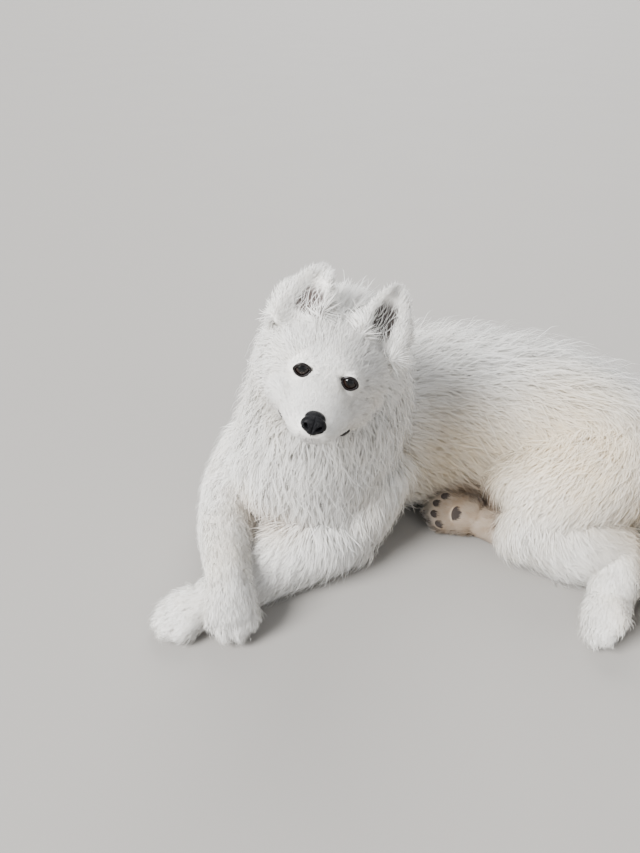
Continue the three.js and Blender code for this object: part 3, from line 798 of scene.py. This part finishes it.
def ribbons(name, pick):
    """The picked tufts as one mesh with their places on the skin's unwrap."""
    count = len(pick)
    mesh = bpy.data.meshes.new(name)
    faces = (FACES[None] + TUFT_POINTS * np.arange(count)[:, None, None]).reshape(-1)
    mesh.vertices.add(count * TUFT_POINTS)
    mesh.vertices.foreach_set("co", verts[pick].astype(np.float32).ravel())
    mesh.loops.add(len(faces))
    mesh.loops.foreach_set("vertex_index", faces.astype(np.int32))
    mesh.polygons.add(count * len(FACES))
    mesh.polygons.foreach_set("loop_start", np.arange(0, len(faces), 3, dtype=np.int32))
    mesh.update(calc_edges=True)
    spots = (root_map[pick][:, None, :] + ON_MAP[None]).reshape(-1, 2)
    layer = mesh.uv_layers.new(name="OFBake")
    layer.data.foreach_set("uv", spots[faces].astype(np.float32).ravel())
    tones = mesh.attributes.new("tone", "FLOAT", "POINT")
    tones.data.foreach_set("value", tone[pick].astype(np.float32).ravel())
    mesh.shade_smooth()
    mesh.normals_split_custom_set_from_vertices(np.repeat(lean[pick], TUFT_POINTS, axis=0))
    return mesh


# The coat's finish: the shared colouring, darker from tuft to tuft at random and with painted shade
# towards the roots, on hair that lets some light through. One mesh for each part of the body, or
# more where tufts are many.
LET_THROUGH = 0.42
coat_made, shader, place = material(
    "white_coat", (0.88, 0.86, 0.81), roughness=0.58, sheen_weight=0.15
)
tuft_tone_and_root_shade = place.node("ShaderNodeAttribute", out=2, attribute_name="tone")
colour = markings_and_painted_shade(place, False).mixed((1 - tuft_tone_and_root_shade) * 0.52, (0.57, 0.53, 0.47))
colour.into(shader.inputs["Base Color"])
tree = coat_made.node_tree
thin = tree.nodes.new("ShaderNodeBsdfTranslucent")
colour.into(thin.inputs["Color"])
both = tree.nodes.new("ShaderNodeMixShader")
both.inputs["Fac"].default_value = LET_THROUGH
tree.links.new(shader.outputs["BSDF"], both.inputs[1])
tree.links.new(thin.outputs["BSDF"], both.inputs[2])
tree.links.new(both.outputs["Shader"], tree.nodes["Material Output"].inputs["Surface"])
for number, part in enumerate(PARTS):
    picked = np.flatnonzero(kind == number)
    pieces = max(1, math.ceil(len(picked) / MOST))
    for n, pick in enumerate(np.array_split(picked[np.argsort(root[picked, 0])], pieces)):
        name = f"coat_{part}" + (f"_{n + 1}" if pieces > 1 else "")
        piece(name, ribbons(name, pick), coat_made)


# Eyes: wet balls behind the skin's openings, turned up to the camera. The dark brown iris, its
# darker ring, the pupil and the white round them are painted by the distance from the pole.
GAZE = Vector((-0.03, -0.89, 0.45)).normalized()


def finished(bm, name, lowest=0.0005):
    """The built shape as a smooth mesh with its faces out and nothing under the floor."""
    bmesh.ops.recalc_face_normals(bm, faces=bm.faces)
    for v in bm.verts:
        v.co.z = max(v.co.z, lowest)
    mesh = bpy.data.meshes.new(name)
    bm.to_mesh(mesh)
    bm.free()
    mesh.shade_smooth()
    return mesh


for side, sign in (("left", 1), ("right", -1)):
    centre = HEAD @ Vector((EYE[0] * sign, EYE[1], EYE[2]))
    bm = bmesh.new()
    bmesh.ops.create_uvsphere(
        bm, u_segments=48, v_segments=32, radius=EYE_RADIUS * MM, matrix=Matrix.Translation(centre * MM)
    )
    made, shader, place = material(
        "eye_" + side, (0.03, 0.015, 0.01), roughness=0.08, specular_ior_level=0.1,
        coat_weight=0.55, coat_roughness=0.03,
    )
    pole = tuple(centre + GAZE * EYE_RADIUS)
    iris = place.node("ShaderNodeTexNoise", {"Vector": place, "Scale": 1500.0})
    base = place.node("ShaderNodeValToRGB", {"Fac": iris})
    base.socket.node.color_ramp.elements[0].color = (0.008, 0.004, 0.003, 1)
    base.socket.node.color_ramp.elements[1].color = (0.012, 0.006, 0.004, 1)
    white = (1 - place.near(pole, 9.3, 10.2)) * 0.5
    ring = place.near(pole, 9.4, 10.0) * (1 - place.near(pole, 7.0, 9.0))
    pupil = place.near(pole, 4.6, 5.1)
    colour = base.mixed(ring, (0.004, 0.003, 0.003)).mixed(pupil, (0.002, 0.002, 0.002))
    colour.mixed(white, (0.30, 0.26, 0.23)).into(shader.inputs["Base Color"])
    piece("eye_ball_" + side, finished(bm, "eye_ball_" + side), made, ("eye_" + side,))

# Lid rims: a line of bare black skin round each eye, a little heavier above and drawn out to the
# inner corner. Each is a closed tube along the edge of the almond opening, on the lids.
RIM_POINTS = 44


def tube(bm, path, radii, matrix, closed=False, around=8):
    """A round line of skin along a path, such as a lid's rim or a lip."""
    loops = []
    count = len(path)
    for n, (at, radius) in enumerate(zip(path, radii)):
        before = path[n - 1] if closed or n else path[n]
        after = path[(n + 1) % count] if closed or n < count - 1 else path[n]
        turn = (after - before).to_track_quat("Z", "Y").to_matrix().to_4x4()
        place = Matrix.Scale(MM, 4) @ matrix @ Matrix.Translation(at) @ turn
        last = not closed and n in (0, count - 1)
        ring = bmesh.ops.create_circle(
            bm, cap_ends=last, segments=around, radius=radius, matrix=place
        )
        loops.append({e for v in ring["verts"] for e in v.link_edges})
    for one, two in zip(loops, loops[1:] + (loops[:1] if closed else [])):
        bmesh.ops.bridge_loops(bm, edges=list(one | two))


rim_made, shader, place = material(
    "rim_skin", (0.008, 0.006, 0.006), roughness=0.32, specular_ior_level=0.3
)
(place.noise(300.0) * 0.25 + 0.22).into(shader.inputs["Roughness"])
bump(place.noise(1200.0), shader, 0.0003)
for side, sign in (("left", 1), ("right", -1)):
    path, radii = [], []
    for k in range(RIM_POINTS):
        a = 2 * math.pi * k / RIM_POINTS
        u = OPENING[0] * math.cos(a) * (1.04 if math.cos(a) * sign < 0 else 1.0)
        w = OPENING[1] * (1 - TAPER * abs(math.cos(a)) ** TAPER_POWER) * math.sin(a)
        slant = math.radians(-SLANT * sign)
        x = u * math.cos(slant) - w * math.sin(slant)
        z = u * math.sin(slant) + w * math.cos(slant)
        y = -math.sqrt(max((EYE_RADIUS + LID) ** 2 - x * x - z * z, 4))
        path.append(Vector((EYE[0] * sign + x, EYE[1] + y, EYE[2] + z)))
        radii.append(1.5 + 0.25 * math.sin(a))
    bm = bmesh.new()
    tube(bm, path, radii, HEAD, closed=True, around=10)
    piece("lid_rim_" + side, finished(bm, "lid_rim_" + side), rim_made)

# Lips: the closed mouth's dark line of bare skin. It is a tube laid on the skin from corner to
# corner, fuller at the corners, with a short line under the nose. The left corner stands prouder.
bm = bmesh.new()
half = [Vector(p) for p in through(MOUTH_LINE, np.linspace(0, 1, 26))]
whole = half + [Vector((-p.x, p.y, p.z)) for p in half[-2::-1]]
back = np.abs(np.linspace(-1, 1, len(whole)))
lip = np.interp(back, (0, 0.4, 0.58, 0.7, 0.9, 1), (0.35, 0.6, 1.1, 2.6, 2.7, 0.8))
path = []
for p, high in zip(whole, np.interp(back, (0, 0.5, 0.7, 1), (0.1, 0.6, 2.7, 2.3))):
    _, at, normal, _ = skin.closest_point_on_mesh(HEAD @ p * MM)
    path.append(at / MM + normal * float(high if p.x > 0 else high / 3))
tube(bm, path, lip, Matrix())
tube(bm, [Vector((0, -84.0 + 0.4 * n, -36 - 1.4 * n)) for n in range(4)], [0.9, 0.7, 0.5, 0.2], HEAD)
piece("lips", finished(bm, "lips"), rim_made)

# Nose: the black pad of pebbled leather. Three balls are fused into one, then two comma-shaped
# nostrils and the groove between them are pressed into its front.
NOSTRIL = (6.6, -28.5)
SLIT = (11.0, -31.5)
FRONT_OF_PAD = -79
bm = bmesh.new()
ball(bm, (0, -79, -28), (14, 8, 10), HEAD, 4)
ball(bm, (0, -72, -24), (11.5, 10, 8), HEAD, 4)
ball(bm, (0, -80, -34), (7, 6.5, 5), HEAD, 3)
nose = bpy.data.objects.new("nose_pad", finished(bm, "nose_raw"))
bpy.context.collection.objects.link(nose)
fuse = nose.modifiers.new("fuse", "REMESH")
fuse.mode, fuse.voxel_size = "VOXEL", 0.6 * MM
nose.modifiers.new("smooth", "SMOOTH").iterations = 8
pad = bpy.data.meshes.new_from_object(nose.evaluated_get(bpy.context.evaluated_depsgraph_get()))
nose.modifiers.clear()
nose.data = pad
pad.name = "nose_pad"
inverse = HEAD.inverted() @ Matrix.Scale(1000, 4)
outwards = Matrix.Scale(MM, 4) @ HEAD
for v in pad.vertices:
    p = inverse @ v.co
    x = abs(p.x)
    aside = x - NOSTRIL[0]
    hole = math.hypot(aside / 3.4, (p.z - NOSTRIL[1] - 0.5 * aside) / 2.7)
    slit = math.hypot((x - SLIT[0]) / 3.2, (p.z - SLIT[1]) / 1.3)
    deep = 5.5 * max(0, 1 - hole) ** 0.6 + 2.2 * max(0, 1 - slit) ** 0.7
    if p.y < FRONT_OF_PAD:
        p.y += deep + 1.0 * max(0, 1 - x / 1.2)
    v.co = outwards @ p
pad.shade_smooth()
nose_made, shader, place = material(
    "nose_leather", (0.004, 0.004, 0.005), roughness=0.34, specular_ior_level=0.12
)


def pebbles(place, scale):
    """How far a place is from the edge of its pebble."""
    cells = {"Vector": place, "Scale": scale}
    return place.node("ShaderNodeTexVoronoi", cells, feature="DISTANCE_TO_EDGE")


bump(pebbles(place, 1100.0).ramp(0.0, 0.22), shader, 0.0005, 0.6)
(place.noise(250.0) * 0.3 + 0.2).into(shader.inputs["Roughness"])
piece("nose_pad", nose, nose_made, ("nose",))

# Claws and pads: a curved claw of dark horn at the tip of each toe, and pads of dark pebbled skin,
# one under each toe and two that make the palm's, set in the coat of each paw's sole.
CLAW = [(0, 0, 0, 2.6, 2.6, 2.6, 0), (0, 8, -1, 2.3, 2.4, 2.4, 0), (0, 14, -5, 0.9, 0.9, 0.9, 0)]
claw_made, shader, place = material("claw_horn", (0.08, 0.065, 0.055), roughness=0.35)
horn = place.node("ShaderNodeValToRGB", {"Fac": place.noise(160.0)})
horn.socket.node.color_ramp.elements[0].color = (0.10, 0.08, 0.07, 1)
horn.socket.node.color_ramp.elements[1].color = (0.32, 0.27, 0.23, 1)
horn.into(shader.inputs["Base Color"])
pad_made, shader, place = material("pad_skin", (0.045, 0.033, 0.028), roughness=0.7)
bump(pebbles(place, 800.0).ramp(0.0, 0.25), shader, 0.0006, 0.7)
(place.noise(120.0) * 0.3 + 0.5).into(shader.inputs["Roughness"])
for name in PAWS:
    claws, pads = bmesh.new(), bmesh.new()
    for x, y, z, r in TOES:
        at = paw_matrix(name) @ Matrix.Translation((x, y + 0.7 * r, z))
        draw(claws, UP, CLAW, at, around=12)
    for x, y, z, wide, far, high in PADS:
        ball(pads, (x, y, z), (wide, far, high * 0.8), paw_matrix(name))
    numbers = [f"claw_{name}_{n}" for n in range(1, 5)]
    piece("claws_" + name, finished(claws, "claws_" + name), claw_made, numbers)
    piece("pads_" + name, finished(pads, "pads_" + name), pad_made)
